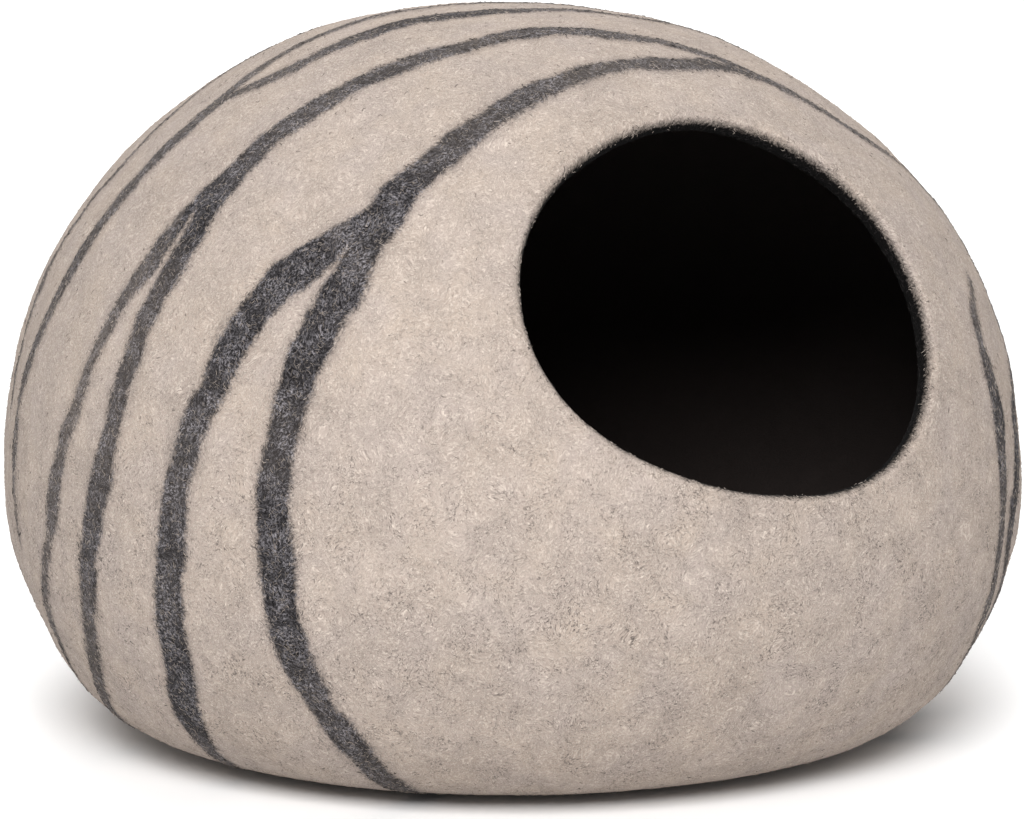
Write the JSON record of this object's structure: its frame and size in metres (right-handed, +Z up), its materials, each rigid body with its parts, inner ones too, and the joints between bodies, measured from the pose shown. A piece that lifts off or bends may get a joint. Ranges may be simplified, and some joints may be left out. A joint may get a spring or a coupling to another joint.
{
  "type": "felt cat cave",
  "caption": "Seamless pebble-shaped felt cat cave with a flat foot, a thick one-piece wall and a tilted oval opening near the top of its front.",
  "frame": {"origin": "on the surface it stands on, under the middle of its bounding box", "axes": "+Z up; -Y towards the opening; +X to the right of someone who looks into the opening"},
  "size_m": [0.4134, 0.4046, 0.2904],
  "materials": {
    "wool_felt": "matt wet-felted wool, light grey-beige melange outside with charcoal bands, charcoal inside"
  },
  "bodies": {
    "root": {"felt_shell": "wool_felt"}
  },
  "joints": []
}
